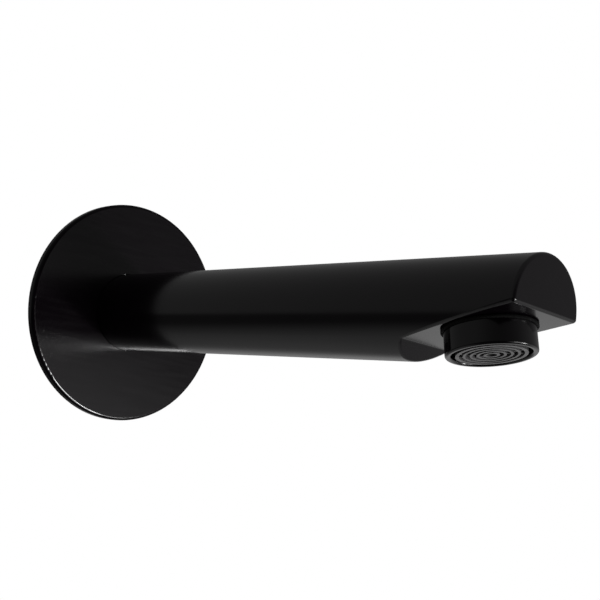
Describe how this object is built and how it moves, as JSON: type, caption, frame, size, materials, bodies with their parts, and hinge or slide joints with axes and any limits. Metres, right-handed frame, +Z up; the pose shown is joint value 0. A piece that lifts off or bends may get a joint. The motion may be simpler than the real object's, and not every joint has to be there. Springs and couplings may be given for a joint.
{
  "type": "wall spout",
  "caption": "Round wall spout: a plain tube through a thin round cover flange, its tip cut away below to a slanted flat with a screw-in aerator, fed by a threaded spigot.",
  "frame": {"origin": "centre of the spout on the finished wall, which is the plane of the flange's back", "axes": "+Y into the wall along the inlet thread, so the spout reaches out along -Y; +Z up, with the aerator below"},
  "size_m": [0.085, 0.209, 0.085],
  "materials": {
    "black_coating": "satin black coating on brass",
    "gloss_black": "glossier black coating on brass",
    "brass": "bare turned brass",
    "seal_rubber": "matte black rubber",
    "screw_steel": "plain stainless steel",
    "grey_plastic": "moulded grey plastic"
  },
  "bodies": {
    "root": {"spout_body": "black_coating", "wall_flange": "black_coating", "flange_o_ring": "seal_rubber", "flange_gasket": "seal_rubber", "wall_spigot": "brass", "spigot_o_ring_rear": "seal_rubber", "spigot_o_ring_front": "seal_rubber", "grub_screw": "screw_steel", "aerator_housing": "gloss_black", "collar_seal": "seal_rubber", "aerator_washer": "seal_rubber", "aerator_cartridge": "grey_plastic", "jet_plate": "grey_plastic", "inlet_screen": "grey_plastic"}
  },
  "joints": []
}
